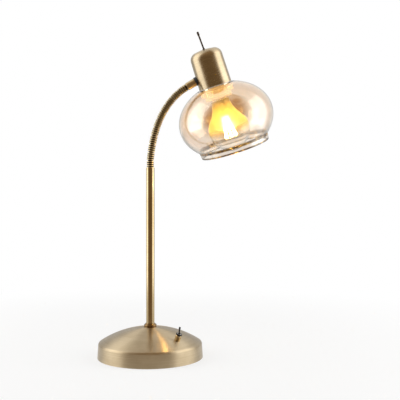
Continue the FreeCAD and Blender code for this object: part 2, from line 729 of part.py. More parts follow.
def glass_shade():
    """Blown globe: flat fitter round the hole, elliptical wall, short lip at the mouth."""
    a_in, b_in = GLOBE_A - GLASS, GLOBE_B - GLASS
    shoulder_r = GLOBE_A * math.sqrt(1 - ((GLASS_TOP - GLOBE_CENTRE) / GLOBE_B) ** 2)
    under_z = GLASS_TOP - 3.0
    under_r = a_in * math.sqrt(1 - ((under_z - GLOBE_CENTRE) / b_in) ** 2)
    crease_z = ellipse_point(GLOBE_A, GLOBE_B, LIP_R, -1)
    lip_in = LIP_R - 2.6
    inner_crease_z = ellipse_point(a_in, b_in, lip_in, -1)
    rim_out, rim_in = LIP_R - 1.1, lip_in - 1.1
    edges = [
        Part.makeLine(at(FITTER_R, under_z), at(FITTER_R, GLASS_TOP)),
        Part.makeLine(at(FITTER_R, GLASS_TOP), at(shoulder_r, GLASS_TOP)),
        ellipse_arc(GLOBE_A, GLOBE_B, GLASS_TOP, crease_z),
        Part.makeLine(at(LIP_R, crease_z), at(rim_out, LIP_END)),
        Part.Arc(at(rim_out, LIP_END), at((rim_out + rim_in) / 2, LIP_END - 1.3),
                 at(rim_in, LIP_END)).toShape(),
        Part.makeLine(at(rim_in, LIP_END), at(lip_in, inner_crease_z)),
        ellipse_arc(a_in, b_in, inner_crease_z, under_z),
        Part.makeLine(at(under_r, under_z), at(FITTER_R, under_z)),
    ]
    return Part.Face(Part.Wire(edges)).revolve(ORIGIN, Z_AXIS, 360)


def shade_ring():
    """Threaded ring on the skirt, with finger ribs, that clamps the glass to the cup."""
    ring = turned([
        (SKIRT_R + 0.05, -12.4), (23.0, -12.4), (23.6, -11.6), (23.6, -7.0), (RING_R, -6.4),
        (RING_R, -4.6), (RING_R - 0.4, -4.05), (SKIRT_R + 0.05, -4.05)])
    notch = block(4, 1.6, -13, -7.0, 24.2, 0)
    for k in range(16):
        cutter = notch.copy()
        cutter.rotate(ORIGIN, Z_AXIS, k * 360 / 16)
        ring = ring.cut(cutter)
    return ring


save("glass_shade", placed(glass_shade(), HEAD))
save("shade_gasket", placed(tube(CUP_R - 0.1, FITTER_R + 0.1, GLASS_TOP + 0.02, -0.02), HEAD))
save("shade_ring", placed(shade_ring(), HEAD))


# ---- bulb ----------------------------------------------------------------------
BULB_WALL = 0.9
NECK_ANGLE = 40.0          # where the bulb's ball runs into its neck, above the equator
CAP_JOIN = 13.5            # radius of the glass where it enters the cap
CAP_LOW = -21.0
CONTACT_TOP = 6.6
BULB_TRAVEL = 112.0


def bulb_side(offset):
    """Ball, hollow neck curve and end of the glass, drawn in by offset."""
    angle = math.radians(NECK_ANGLE)
    ball = BULB_R - offset
    hollow = (BULB_R * math.cos(angle) - CAP_JOIN) / (1 - math.sin(math.radians(90 - NECK_ANGLE)))
    blend = (ball * math.cos(angle), BULB_CENTRE + ball * math.sin(angle))
    centre_r = CAP_JOIN + hollow
    centre_z = BULB_CENTRE + BULB_R * math.sin(angle) + hollow * math.sin(angle)
    reach = hollow + offset
    half = math.radians(NECK_ANGLE / 2)
    return [(0, BULB_CENTRE - ball), ((ball, BULB_CENTRE), blend),
            ((centre_r - reach * math.cos(half), centre_z - reach * math.sin(half)),
             (centre_r - reach, centre_z))]


def bulb_glass():
    """Clear envelope: a round ball that necks down into the cap."""
    outside = bulb_side(0.0)
    inside = bulb_side(BULB_WALL)
    return turned(outside + [(0, outside[-1][1][1])]).cut(
        turned(inside + [(0, inside[-1][1][1] + 0.0)]).fuse(
            rod(CAP_JOIN - BULB_WALL, inside[-1][1][1] - 0.1, inside[-1][1][1] + 1)))


def bulb_cap():
    """Screw cap with its wide round thread, closed by a cone to the insulator."""
    steps = [(CAP_JOIN - 1.2, CAP_LOW + 0.6), (CAP_JOIN, CAP_LOW + 0.6), (CAP_R, CAP_LOW + 2.4)]
    pitch, turns = 3.6, 5
    start = CAP_LOW + 4.0
    for k in range(turns):
        z = start + k * pitch
        steps += [(CAP_R - 0.9, z), (CAP_R, z + pitch / 2)]
    top = start + turns * pitch
    return turned(steps + [(CAP_R - 0.9, top), (9.0, top + 2.0), (7.6, top + 2.4),
                           (7.6, top + 1.6), (CAP_R - 1.4, top - 0.6),
                           (CAP_R - 1.4, CAP_LOW + 1.2)])


def bulb_insulator():
    """Glass bead between the cap and the centre contact."""
    low = CAP_LOW + 4.0 + 18.0 + 1.7
    return turned([(0, low), (7.4, low), (7.4, low + 0.7), (4.9, CONTACT_TOP - 1.1),
                   (0, CONTACT_TOP - 1.1)])


def bulb_contact():
    return turned([(0, CONTACT_TOP - 1.08), (4.6, CONTACT_TOP - 1.08),
                   ((3.6, CONTACT_TOP - 0.35), (1.5, CONTACT_TOP)), (0, CONTACT_TOP)])


def bulb_stem():
    """Flared glass mount that carries the filament."""
    return turned([
        (0, -20.0), (11.6, -20.0), ((6.5, -24.5), (4.4, -31.0)), (2.4, -42.0), (2.4, -46.0),
        ((1.9, -47.5), (0.8, -48.2)), (0, -48.2)])


def bulb_filament():
    """Four straight filament rods, splayed round the mount and joined at both ends."""
    rods = []
    low, high, low_r, high_r = -78.0, -46.0, 9.0, 5.0
    lean = math.degrees(math.atan((low_r - high_r) / (high - low)))
    for k in range(4):
        bar = rod(1.0, 0, math.hypot(high - low, low_r - high_r))
        bar.rotate(ORIGIN, Y_AXIS, -lean)
        bar.translate(FreeCAD.Vector(low_r, 0, low))
        bar.rotate(ORIGIN, Z_AXIS, 45 + 90 * k)
        rods.append(bar)
    hub = tube(2.9, 2.42, -45.6, -43.4)
    ring = tube(low_r + 0.5, low_r - 0.5, low - 0.8, low + 0.3)
    arms = [block(2 * high_r + 1.4, 0.9, -45.9, -44.9) for _ in range(2)]
    for arm, angle in zip(arms, (45, 135)):
        arm.rotate(ORIGIN, Z_AXIS, angle)
    frame = hub.fuse(arms).cut(rod(2.42, -50, -40))
    return frame.fuse(rods + [ring])


save("bulb_glass", placed(bulb_glass(), HEAD))
save("bulb_cap", placed(bulb_cap(), HEAD))
save("bulb_insulator", placed(bulb_insulator(), HEAD))
save("bulb_contact", placed(bulb_contact(), HEAD))
save("bulb_stem", placed(bulb_stem(), HEAD))
save("bulb_filament", placed(bulb_filament(), HEAD))


# ---- wiring in the base and the stem ----------------------------------------------
def terminal_block():
    """Two-way connector in the rear slot of the ballast."""
    body = block(15, 9, WEIGHT_BOTTOM + 0.2, 12.6, 0, 46)
    for x in (-3.8, 3.8):
        body = body.cut(rod(1.6, 9.6, 14, x, 46))
        for y_low in (41,):
            way = Part.makeCylinder(1.7, 12, FreeCAD.Vector(x, y_low, 7.0), Y_AXIS)
            body = body.cut(way)
    return body


def stem_flex():
    """Flex from the connector, under the hub, up through the nipple and the stem."""
    top = STEM_TOP - 2
    route = [FreeCAD.Vector(0, 40.6, 6.6), FreeCAD.Vector(0, 0, 6.6), FreeCAD.Vector(0, 0, top)]
    return bent_tube(route, 2.2, 6.5)


save("terminal_block", terminal_block())
save("stem_flex", stem_flex())
print("cup rim", CUP_RIM, "axis", CUP_AXIS, "neck end", NECK_END)
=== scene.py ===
# %% [markdown]
# # A glass globe table lamp, dressed for its picture
#
# The lamp's solids come from a CAD model. This lesson gives each of them the finish
# that the real one has: brushed antique brass, a ribbed gooseneck, champagne glass with
# a lustre, a lit bulb, glazed porcelain and the plain parts inside. A few pieces that
# are too fine for the solids are worked out here as surfaces.
#
# All sizes are metres. +Z is up and -Y is the side that the photograph was taken from.

# %% Load the frame
import json
import math

import bpy
import numpy as np
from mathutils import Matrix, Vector


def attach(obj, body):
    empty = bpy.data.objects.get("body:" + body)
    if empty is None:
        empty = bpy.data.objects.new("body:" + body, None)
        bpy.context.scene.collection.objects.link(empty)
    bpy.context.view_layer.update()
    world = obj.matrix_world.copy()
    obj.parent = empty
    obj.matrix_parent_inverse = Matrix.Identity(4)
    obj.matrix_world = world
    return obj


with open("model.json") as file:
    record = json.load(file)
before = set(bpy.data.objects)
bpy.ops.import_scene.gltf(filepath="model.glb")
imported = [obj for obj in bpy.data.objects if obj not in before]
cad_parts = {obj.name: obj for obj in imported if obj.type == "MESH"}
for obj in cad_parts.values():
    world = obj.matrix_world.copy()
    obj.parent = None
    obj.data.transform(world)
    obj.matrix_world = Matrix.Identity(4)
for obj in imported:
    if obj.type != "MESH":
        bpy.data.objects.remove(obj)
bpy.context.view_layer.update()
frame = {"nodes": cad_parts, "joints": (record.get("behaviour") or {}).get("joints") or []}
nodes = frame["nodes"]
joints = {joint["name"]: joint for joint in frame["joints"]}
print("solids:", len(nodes), "joints:", len(joints))

# %% [markdown]
# ## Where the turned pieces have their axes
#
# Nearly every piece of this lamp is turned on a lathe or spun, so a finish needs to know
# the piece's own axis: the brush marks run round it. The axis could be typed in, but the
# frame already holds it. The middle of a ring lies on its axis, so the middles of two
# rings on one axis give both a point and a direction, and they stay right when the CAD
# model changes.


# %% Middles and axes, measured on the solids
def corners_of(node):
    """The node's corners as an array of (x, y, z) rows."""
    mesh = nodes[node].data
    corners = np.empty(len(mesh.vertices) * 3)
    mesh.vertices.foreach_get("co", corners)
    return corners.reshape(-1, 3)


def middle_of(node):
    """Mean of the node's corners, which lies on the axis of a turned ring."""
    return Vector(corners_of(node).mean(axis=0))


def axis_between(lower, upper):
    """Unit direction from the middle of one turned node to that of another."""
    return (middle_of(upper) - middle_of(lower)).normalized()


UP = Vector((0, 0, 1))
STAND = (Vector((0, 0, 0)), UP)
head_axis = -Vector(joints["bulb_withdraw"]["axis"]).normalized()
HEAD = (middle_of("shade_gasket"), head_axis)
SWITCH = (middle_of("switch_sleeve"), axis_between("switch_sleeve", "switch_ring_nut"))
FERRULE = (middle_of("ferrule"), axis_between("ferrule", "head_nut"))
print("head axis", [round(v, 3) for v in head_axis], "middle", [round(v, 4) for v in HEAD[0]])

# %% [markdown]
# ## The camera
#
# The photograph looks level at the lamp from about a metre away: the base shows as a
# flat ellipse and the cup's rim edge-on. A short lens close by would widen the base's
# ellipse, a long one far away would flatten it, so the distance is the one at which the
# ellipse and the mouth of the globe both have the photograph's shape.

# %% Camera
CAMERA_PLACE = (0.071, -0.977, 0.2238)
LENS_MM = 61.5
SENSOR_MM = 36.0
scene = bpy.context.scene
camera_data = bpy.data.cameras.new("photo_camera")
camera_data.lens = LENS_MM
camera_data.sensor_width = SENSOR_MM
camera_data.sensor_fit = "HORIZONTAL"
camera = bpy.data.objects.new("photo_camera", camera_data)
camera.location = CAMERA_PLACE
camera.rotation_euler = (math.radians(90), 0, 0)
scene.collection.objects.link(camera)
scene.camera = camera
scene.view_settings.view_transform = "Standard"
print("camera at", CAMERA_PLACE)

# %% [markdown]
# ## Studio light
#
# Metal has hardly any colour of its own: it shows what stands round it. The photograph's
# brass is cream down both sides and dark brown in the middle, so there was a tall soft
# box at each side and a dark room behind the camera. Two area lamps give the light of
# the boxes. Their mirror image would have hard edges, which real boxes of cloth haven't,
# so metal and glass see the boxes in the world instead, where they can fade out. The two
# lamps are hidden from the camera and from rays that bounce off a shiny surface.

# %% Soft boxes
BOX_DISTANCE = 0.90
BOX_WIDTH = 0.75
BOX_HEIGHT = 1.50
BOX_RADIANCE = 2.0
BOX_MIDDLE = Vector((0.06, -0.05, 0.48))
BOX_AIM = Vector((0.06, 0, 0.28))


def soft_box(name, side):
    """A tall area lamp beside the object, turned to face it.

    An area lamp of power P and area A shines with a radiance of P / (pi * A)."""
    data = bpy.data.lights.new(name, "AREA")
    data.shape = "RECTANGLE"
    data.size = BOX_WIDTH
    data.size_y = BOX_HEIGHT
    data.energy = BOX_RADIANCE * math.pi * BOX_WIDTH * BOX_HEIGHT
    data.color = (1.0, 0.98, 0.95)
    box = bpy.data.objects.new(name, data)
    box.location = BOX_MIDDLE + Vector((side * BOX_DISTANCE, 0, 0))
    box.rotation_euler = (BOX_AIM - box.location).to_track_quat("-Z", "Y").to_euler()
    box.visible_camera = False
    box.visible_glossy = False
    scene.collection.objects.link(box)


for box_name, box_side in (("soft_box_left", -1), ("soft_box_right", 1)):
    soft_box(box_name, box_side)
print("soft boxes", BOX_WIDTH, "by", BOX_HEIGHT)

# %% [markdown]
# ## The bulb's beam
#
# Light from the bulb falls through the mouth of the globe on the dome and makes a narrow
# golden streak in the brushed metal. It could be left to the filament, but rays hardly
# ever find their way out through two walls of glass, and the streak comes out as specks.
# A small lamp just below the globe stands for it, on the line from the filament to the
# front of the dome. It has no size, so it shows on brushed metal and not as a spot in the
# smooth glass, and matt surfaces don't see it.

# %% Beam
BEAM_WATTS = 0.17
BEAM_COLOUR = (1.0, 0.60, 0.17)
BEAM_SHARE = 0.26
FILAMENT_DEPTH = 0.062
DOME_FRONT = Vector((-0.016, -0.052, 0.022))
filament_middle = HEAD[0] - FILAMENT_DEPTH * head_axis
beam_data = bpy.data.lights.new("bulb_beam", "POINT")
beam_data.energy = BEAM_WATTS
beam_data.color = BEAM_COLOUR
beam_data.shadow_soft_size = 0.0
beam = bpy.data.objects.new("bulb_beam", beam_data)
beam.location = filament_middle.lerp(DOME_FRONT, BEAM_SHARE)
beam.visible_camera = False
beam.visible_diffuse = False
beam.visible_transmission = False
scene.collection.objects.link(beam)
print("beam at", [round(v, 3) for v in beam.location])

# %% [markdown]
# ## Short words for node trees
#
# A finish in Blender is a tree of small nodes. They could be joined by hand in the
# editor, but then nobody could read how a colour came about. Each helper here makes one
# kind of node and gives back the socket with its result, so that a finish reads like a
# few lines of arithmetic.


# %% Helpers: nodes and links
def add(tree, kind, **values):
    """A node of this kind, with attributes set by name."""
    node = tree.nodes.new(kind)
    for name, value in values.items():
        setattr(node, name, value)
    return node


def put(tree, value, socket):
    """Sets a socket: a link if the value is another node's socket, else a plain value."""
    if isinstance(value, bpy.types.NodeSocket):
        tree.links.new(value, socket)
    else:
        socket.default_value = value


print("nodes and links ready")


# %% Helpers: arithmetic
def maths(tree, operation, first, second=0.0, third=0.0):
    """A Math node's result."""
    node = add(tree, "ShaderNodeMath", operation=operation)
    for value, socket in zip((first, second, third), node.inputs):
        put(tree, value, socket)
    return node.outputs[0]


def vector_maths(tree, operation, first, second=(0, 0, 0), output="Vector"):
    """A Vector Math node's result."""
    node = add(tree, "ShaderNodeVectorMath", operation=operation)
    put(tree, first, node.inputs[0])
    put(tree, second, node.inputs[1])
    return node.outputs[output]


def scaled(tree, vector, factor):
    """A vector times a number."""
    node = add(tree, "ShaderNodeVectorMath", operation="SCALE")
    put(tree, vector, node.inputs[0])
    put(tree, factor, node.inputs["Scale"])
    return node.outputs[0]


def parts_of(tree, vector):
    """The X, Y and Z sockets of a vector."""
    node = add(tree, "ShaderNodeSeparateXYZ")
    put(tree, vector, node.inputs[0])
    return node.outputs


def between(tree, value, low, high, to_low=0.0, to_high=1.0):
    """Smooth map of a value from one range to another, held at both ends."""
    node = add(tree, "ShaderNodeMapRange", interpolation_type="SMOOTHSTEP")
    for name, setting in (("Value", value), ("From Min", low), ("From Max", high),
                          ("To Min", to_low), ("To Max", to_high)):
        put(tree, setting, node.inputs[name])
    return node.outputs["Result"]


def noise(tree, place, scale, detail):
    """Cloudy noise between 0 and 1."""
    node = add(tree, "ShaderNodeTexNoise", noise_dimensions="3D")
    put(tree, place, node.inputs["Vector"])
    put(tree, scale, node.inputs["Scale"])
    node.inputs["Detail"].default_value = detail
    return node.outputs["Fac"]


print("arithmetic ready")


# %% Helpers: mixing
def mix_values(tree, mask, first, second):
    """first where the mask is 0, second where it is 1."""
    node = add(tree, "ShaderNodeMix", data_type="FLOAT")
    put(tree, mask, node.inputs["Factor"])
    put(tree, first, node.inputs["A"])
    put(tree, second, node.inputs["B"])
    return node.outputs["Result"]


def mix_shaders(tree, mask, first, second):
    """The first shader where the mask is 0, the second where it is 1."""
    node = add(tree, "ShaderNodeMixShader")
    for value, socket in zip((mask, first, second), node.inputs):
        put(tree, value, socket)
    return node.outputs[0]


def blend_colours(tree, mask, first, second):
    """first where the mask is 0, second where it is 1."""
    node = add(tree, "ShaderNodeMix", data_type="RGBA")
    put(tree, mask, node.inputs["Factor"])
    put(tree, (*first, 1.0) if isinstance(first, tuple) else first, node.inputs["A"])
    put(tree, (*second, 1.0) if isinstance(second, tuple) else second, node.inputs["B"])
    return node.outputs["Result"]


print("mixing ready")

# %% [markdown]
# ## The room that metal sees
#
# A direction's bearing is nearly enough to say how bright the room is there: dark and warm
# in front, where the camera stands, very bright at both sides, where the soft boxes are,
# and pale behind. It could be painted as a picture and wrapped round the scene. A node
# group does it with two comparisons, and then the floor can use the same group, so that
# no edge shows in the metal where floor and room meet.


# %% Group: round room
def new_group(name, inputs, outputs):
    """Empty node group with these (name, socket type) inputs and outputs."""
    group = bpy.data.node_groups.new(name, "ShaderNodeTree")
    for label, kind in inputs:
        group.interface.new_socket(label, in_out="INPUT", socket_type=kind)
    for label, kind in outputs:
        group.interface.new_socket(label, in_out="OUTPUT", socket_type=kind)
    return group, add(group, "NodeGroupInput"), add(group, "NodeGroupOutput")


FLOAT, VECTOR = "NodeSocketFloat", "NodeSocketVector"
ROOM_AHEAD = 0.20
ROOM_BEHIND = 0.56
BOX_GAIN = 1.62
AHEAD_EDGES = (-0.38, -0.80)
SIDE_EDGES = (0.80, 0.985)
round_room, given, result = new_group(
    "round_room", [("Way", VECTOR)], [("Room", FLOAT), ("Boxes", FLOAT), ("Ahead", FLOAT)])
tree = round_room
level = vector_maths(tree, "MULTIPLY", given.outputs["Way"], (1, 1, 0))
bearing = parts_of(tree, vector_maths(tree, "NORMALIZE", level))
ahead = between(tree, bearing["Y"], *AHEAD_EDGES)
sideways = maths(tree, "ABSOLUTE", bearing["X"])
put(tree, between(tree, ahead, 0.0, 1.0, ROOM_BEHIND, ROOM_AHEAD), result.inputs["Room"])
put(tree, between(tree, sideways, *SIDE_EDGES), result.inputs["Boxes"])
put(tree, ahead, result.inputs["Ahead"])
print("group", round_room.name)

# %% [markdown]
# ## The world
#
# The world is what a ray meets when it leaves the scene. Plain white would do for the
# background, but brass in a white room looks like cream paint. So each kind of ray gets
# its own answer: the camera sees white, straight or through glass, a ray off metal or
# glass sees the round room with its two bright boxes, brighter towards the ceiling, and
# matt surfaces get an even fill.


# %% World
FILL = 0.50
WHITE = (1.0, 1.0, 1.0)
WARM = (1.0, 0.68, 0.38)
BOX_TOP = (0.97, 0.50)
CEILING = (0.15, 0.75)
CEILING_GAIN = 1.75
world = bpy.data.worlds.new("studio")
scene.world = world
world.use_nodes = True
tree = world.node_tree
tree.nodes.clear()
path = add(tree, "ShaderNodeLightPath").outputs
direction = add(tree, "ShaderNodeTexCoord").outputs["Generated"]
room = add(tree, "ShaderNodeGroup", node_tree=round_room)
put(tree, direction, room.inputs["Way"])
upward = parts_of(tree, direction)["Z"]
boxes = maths(tree, "MULTIPLY", room.outputs["Boxes"], between(tree, upward, *BOX_TOP))
lifted = maths(tree, "MULTIPLY", room.outputs["Room"],
               between(tree, upward, *CEILING, 1.0, CEILING_GAIN))
reflected = maths(tree, "MULTIPLY_ADD", boxes, BOX_GAIN, lifted)
seen = maths(tree, "MAXIMUM", path["Is Camera Ray"], path["Is Transmission Ray"])
strength = mix_values(tree, seen, mix_values(tree, path["Is Glossy Ray"], FILL, reflected), 1.0)
warmth = maths(tree, "MULTIPLY", room.outputs["Ahead"], path["Is Glossy Ray"])
background = add(tree, "ShaderNodeBackground")
put(tree, blend_colours(tree, warmth, WHITE, WARM), background.inputs["Color"])
put(tree, strength, background.inputs["Strength"])
world_output = add(tree, "ShaderNodeOutputWorld")
put(tree, background.outputs["Background"], world_output.inputs["Surface"])
print("world fill", FILL)

# %% [markdown]
# ## The floor
#
# The photograph shows no edge between table and wall, only white. A wide pale disc does
# for both: near the lamp it is a real matt surface with a little white of its own, so it
# keeps a soft shadow round the base, and further off it turns into plain white. Rays that
# bounce off metal see it as the studio's table instead: white beside and behind the lamp,
# dark in front, which is what puts the dark core in the stem and the cup.

# %% Floor disc
FLOOR_R = 6.0
FLOOR_DROP = 0.0002


def disc_mesh(name, radius, height, sides=96):
    """Flat disc: corner k is (radius cos a, radius sin a, height), a = 2 pi k / sides."""
    angle = np.linspace(0.0, 2 * np.pi, sides, endpoint=False)
    rim = np.column_stack([radius * np.cos(angle), radius * np.sin(angle),
                           np.full(sides, height)])
    mesh = bpy.data.meshes.new(name)
    mesh.from_pydata(rim.tolist(), [], [list(range(sides))])
    return mesh


floor = bpy.data.objects.new("floor", disc_mesh("floor", FLOOR_R, -FLOOR_DROP))
scene.collection.objects.link(floor)
print("floor", FLOOR_R)

# %% Floor finish
MATT_WHITE = (0.93, 0.93, 0.92, 1.0)
FLOOR_EVEN = 0.72
EVEN_EDGES = (0.20, 0.80)
TABLE_WHITE = 0.80
TABLE_EDGES = (0.45, 1.20)
FRONT_EDGES = (0.09, 0.30)
floor_material = bpy.data.materials.new("pale_floor")
floor_material.use_nodes = True
tree = floor_material.node_tree
tree.nodes.clear()
path = add(tree, "ShaderNodeLightPath").outputs
place = add(tree, "ShaderNodeTexCoord").outputs["Object"]
distance = vector_maths(tree, "LENGTH", place, output="Value")
room = add(tree, "ShaderNodeGroup", node_tree=round_room)
put(tree, place, room.inputs["Way"])
dark = maths(tree, "MULTIPLY", room.outputs["Ahead"], between(tree, distance, *FRONT_EDGES))
far_off = maths(tree, "MULTIPLY_ADD", room.outputs["Boxes"], BOX_GAIN, ROOM_BEHIND)
table = mix_values(tree, between(tree, distance, *TABLE_EDGES), TABLE_WHITE, far_off)
seen_in_metal = add(tree, "ShaderNodeEmission")
put(tree, blend_colours(tree, dark, WHITE, WARM), seen_in_metal.inputs["Color"])
put(tree, mix_values(tree, dark, table, ROOM_AHEAD), seen_in_metal.inputs["Strength"])
matt = add(tree, "ShaderNodeBsdfDiffuse")
matt.inputs["Color"].default_value = MATT_WHITE
plain_white = add(tree, "ShaderNodeEmission")
plain_white.inputs["Strength"].default_value = 1.0
seen = maths(tree, "MAXIMUM", path["Is Camera Ray"], path["Is Transmission Ray"])
own_white = maths(tree, "MULTIPLY", seen, between(tree, distance, *EVEN_EDGES, FLOOR_EVEN, 1.0))
for_eye = mix_shaders(tree, own_white, matt.outputs[0], plain_white.outputs[0])
for_all = mix_shaders(tree, path["Is Glossy Ray"], for_eye, seen_in_metal.outputs[0])
floor_output = add(tree, "ShaderNodeOutputMaterial")
put(tree, for_all, floor_output.inputs["Surface"])
floor.data.materials.append(floor_material)
print("floor finish", floor_material.name)

# %% [markdown]
# ## Shared surface effects
#
# Three effects come back on many finishes, so each is a node group: *lathe grain*, the
# fine marks of a brush held against a turning piece, *mottle*, the soft cloudiness of
# plating, lacquer and glaze, and *grit*, the small pits of castings, foam and moulded
# skins. They give only values and directions; the shader stays in each material.


# %% Group: lathe grain
GRAIN_STROKE = 0.9
PATCH_SCALE = 34.0
lathe_grain, given, result = new_group(
    "lathe_grain", [("Centre", VECTOR), ("Axis", VECTOR), ("Lines", FLOAT)],
    [("Lines", FLOAT), ("Patches", FLOAT), ("Round", VECTOR), ("Radius", FLOAT),
     ("Height", FLOAT)])
tree = lathe_grain
axis = given.outputs["Axis"]
place = add(tree, "ShaderNodeTexCoord").outputs["Object"]
offset = vector_maths(tree, "SUBTRACT", place, given.outputs["Centre"])
height = vector_maths(tree, "DOT_PRODUCT", offset, axis, "Value")
spoke = vector_maths(tree, "SUBTRACT", offset, scaled(tree, axis, height))
radius = vector_maths(tree, "LENGTH", spoke, output="Value")
spoke_way = vector_maths(tree, "NORMALIZE", spoke)
round_way = vector_maths(tree, "CROSS_PRODUCT", axis, spoke_way)
to_world = add(tree, "ShaderNodeVectorTransform", vector_type="VECTOR", convert_from="OBJECT",
               convert_to="WORLD")
put(tree, round_way, to_world.inputs[0])
ring = maths(tree, "MULTIPLY", maths(tree, "SUBTRACT", height, radius), given.outputs["Lines"])
grain_place = vector_maths(tree, "ADD", scaled(tree, axis, ring),
                           scaled(tree, spoke_way, GRAIN_STROKE))
for value, label in ((noise(tree, grain_place, 1.0, 3.0), "Lines"),
                     (noise(tree, offset, PATCH_SCALE, 3.0), "Patches"),
                     (to_world.outputs[0], "Round"), (radius, "Radius"), (height, "Height")):
    put(tree, value, result.inputs[label])
print("group", lathe_grain.name)

# %% Group: mottle
mottle, given, result = new_group("mottle", [("Size", FLOAT)], [("Cloud", FLOAT), ("Fine", FLOAT)])
place = add(mottle, "ShaderNodeTexCoord").outputs["Object"]
for label, share, detail in (("Cloud", 1.0, 4.0), ("Fine", 9.0, 2.0)):
    scale = maths(mottle, "DIVIDE", share, given.outputs["Size"])
    put(mottle, noise(mottle, place, scale, detail), result.inputs[label])
print("group", mottle.name)

# %% Group: grit
grit, given, result = new_group("grit", [("Size", FLOAT)], [("Pits", FLOAT), ("Grain", FLOAT)])
place = add(grit, "ShaderNodeTexCoord").outputs["Object"]
cells = add(grit, "ShaderNodeTexVoronoi", feature="F1")
put(grit, place, cells.inputs["Vector"])
put(grit, maths(grit, "DIVIDE", 1.0, given.outputs["Size"]), cells.inputs["Scale"])
put(grit, between(grit, cells.outputs["Distance"], 0.05, 0.65), result.inputs["Pits"])
scale = maths(grit, "DIVIDE", 2.0, given.outputs["Size"])
put(grit, noise(grit, place, scale, 4.0), result.inputs["Grain"])
print("group", grit.name)

# %% [markdown]
# ## Making and giving a finish
#
# Every finish here starts from Blender's Principled shader, which covers metal, glass and
# plastic with one set of inputs. The CAD nodes already have a slot for their material, so
# a finish goes into the slots that are there, and a list of the finished nodes shows at
# the end whether one was left out.


# %% Helpers for materials
def new_material(name):
    """A material with its Principled shader, ready to be wired."""
    material = bpy.data.materials.new(name)
    material.use_nodes = True
    return material, material.node_tree, material.node_tree.nodes["Principled BSDF"]


def use_group(tree, group, **values):
    """A group node with its inputs set."""
    node = add(tree, "ShaderNodeGroup", node_tree=group)
    for label, value in values.items():
        put(tree, value, node.inputs[label])
    return node


def bump(tree, shader, height, strength, depth):
    """Raises the surface by depth where height is 1, as the shader sees it."""
    node = add(tree, "ShaderNodeBump")
    node.inputs["Strength"].default_value = strength
    node.inputs["Distance"].default_value = depth
    put(tree, height, node.inputs["Height"])
    put(tree, node.outputs["Normal"], shader.inputs["Normal"])


def finish(material, *names):
    """Gives nodes their material, in every slot."""
    for name in names:
        mesh = nodes[name].data
        if not mesh.materials:
            mesh.materials.append(material)
        for index in range(len(mesh.materials)):
            mesh.materials[index] = material
        finished.add(name)


finished = set()
print("material helpers ready")

# %% [markdown]
# ## Brushed brass
#
# Antique brass is bright metal that was darkened, brushed back on the lathe and
# lacquered. Under the lens it is a field of fine rings, a little browner in the
# valleys. A picture of scratches could be wrapped round it, but it would seam and
# stretch on a dome. The grain is worked out from the distance to the axis instead, and
# the shader is told which way the marks run. A quarter turn of its anisotropy spreads
# highlights across the marks, into the fan-shaped streaks that spun metal has.


# %% Brass of any finish
STROKE_EDGES = (0.30, 0.70)
CLOUD_EDGES = (0.35, 0.70)
STROKE_SHARE, CLOUD_SHARE = 0.55, 0.45
STROKE_POLISH, CLOUD_POLISH = 0.07, 0.03
QUARTER_TURN = 0.25
GRAIN_DEPTH = 0.00002


def turned_brass(name, line, light, dark, roughness, spread, lines):
    """Lathe-brushed metal round the axis given as (centre, direction)."""
    centre, way = line
    material, tree, shader = new_material(name)
    grain = use_group(tree, lathe_grain, Centre=tuple(centre), Axis=tuple(way), Lines=lines)
    strokes = between(tree, grain.outputs["Lines"], *STROKE_EDGES)
    clouds = between(tree, grain.outputs["Patches"], *CLOUD_EDGES)
    bright = maths(tree, "MULTIPLY_ADD", strokes, STROKE_SHARE,
                   maths(tree, "MULTIPLY", clouds, CLOUD_SHARE))
    put(tree, blend_colours(tree, bright, dark, light), shader.inputs["Base Color"])
    rough = maths(tree, "MULTIPLY_ADD", strokes, -STROKE_POLISH, roughness + CLOUD_POLISH)
    rough = maths(tree, "MULTIPLY_ADD", clouds, -CLOUD_POLISH, rough)
    put(tree, rough, shader.inputs["Roughness"])
    put(tree, grain.outputs["Round"], shader.inputs["Tangent"])
    shader.inputs["Metallic"].default_value = 1.0
    shader.inputs["Anisotropic"].default_value = spread
    shader.inputs["Anisotropic Rotation"].default_value = QUARTER_TURN
    bump(tree, shader, strokes, 0.25, GRAIN_DEPTH)
    return material


# %% The brass pieces
# Light and dark colour of each brass; then finish, node, axis, brass, roughness, spread
# of the highlights and grain lines.
ANTIQUE = ((0.62, 0.505, 0.335), (0.46, 0.36, 0.225))
POLISHED = ((0.66, 0.53, 0.32), (0.50, 0.37, 0.19))
BRONZED = ((0.34, 0.22, 0.10), (0.20, 0.12, 0.05))
BLACKENED = ((0.11, 0.085, 0.06), (0.05, 0.038, 0.026))
for name, node, line, (light, dark), roughness, spread, lines in (
        ("antique_brass_base", "base_cover", STAND, ANTIQUE, 0.38, 0.95, 2600.0),
        ("bronzed_collar", "stem_collar", STAND, BRONZED, 0.18, 0.40, 3000.0),
        ("antique_brass_cup", "cup", HEAD, ANTIQUE, 0.30, 0.85, 2600.0),
        ("polished_brass_stem", "stem_tube", STAND, POLISHED, 0.15, 0.30, 3200.0),
        ("polished_brass_ferrule", "ferrule", FERRULE, POLISHED, 0.34, 0.30, 3200.0),
        ("polished_brass_sleeve", "switch_sleeve", SWITCH, POLISHED, 0.16, 0.30, 3200.0),
        ("bronzed_rod", "handle_rod", HEAD, BLACKENED, 0.28, 0.20, 3200.0)):
    finish(turned_brass(name, line, light, dark, roughness, spread, lines), node)
print("brass on", sorted(finished))
